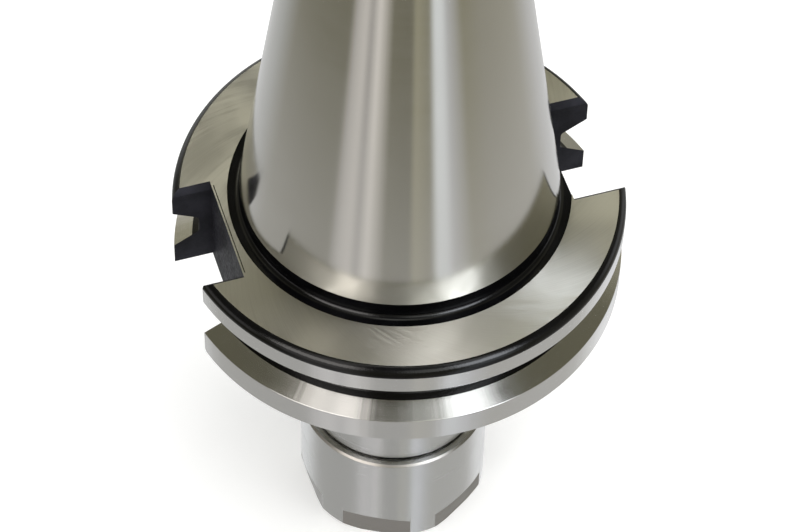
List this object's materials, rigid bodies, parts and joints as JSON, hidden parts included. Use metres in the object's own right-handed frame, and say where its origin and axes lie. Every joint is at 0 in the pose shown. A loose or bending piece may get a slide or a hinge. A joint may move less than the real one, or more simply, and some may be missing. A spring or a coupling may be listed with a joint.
{
  "type": "collet chuck",
  "caption": "Steep-taper tool holder with a V-groove flange and drive slots; a threaded nut presses a slit spring collet into its nose to grip a round tool shank.",
  "frame": {"origin": "on the axis at the gauge line of the steep taper, where its diameter is 44.45 mm", "axes": "+Z along the axis towards the small end of the taper, as the chuck sits in an upright spindle; the deeper drive slot is on the +X side and the shallower one on the -X side; +Y completes the right-handed frame"},
  "size_m": [0.0614, 0.0636, 0.1384],
  "materials": {
    "ground_steel": "ground bright on the taper, the flange face and the rims, black from hardening in the grooves, slots and chamfers",
    "collet_steel": "finely ground spring steel",
    "nut_steel": "turned and ground",
    "blackened_steel": "black oxide"
  },
  "bodies": {
    "holder": {"holder_body": "ground_steel"},
    "collet": {"spring_collet": "collet_steel"},
    "nut": {"clamping_nut": "nut_steel"},
    "stop": {"stop_screw": "blackened_steel"}
  },
  "joints": [
    {"name": "collet_slide", "type": "slide", "parent": "holder", "child": "collet", "axis": [0, 0, -1], "range_m": [0, 0.008]},
    {"name": "nut_turn", "type": "hinge", "parent": "collet", "child": "nut", "pos_m": [0, 0, -0.0605], "axis": [0, 0, -1], "range_deg": [0, 2880]},
    {"name": "stop_screw_slide", "type": "slide", "parent": "holder", "child": "stop", "axis": [0, 0, 1], "range_m": [-0.012, 0.013]}
  ],
  "couplings": [
    {"joint": "collet_slide", "follows": "nut_turn", "m_per_rad": 0.00015915}
  ]
}
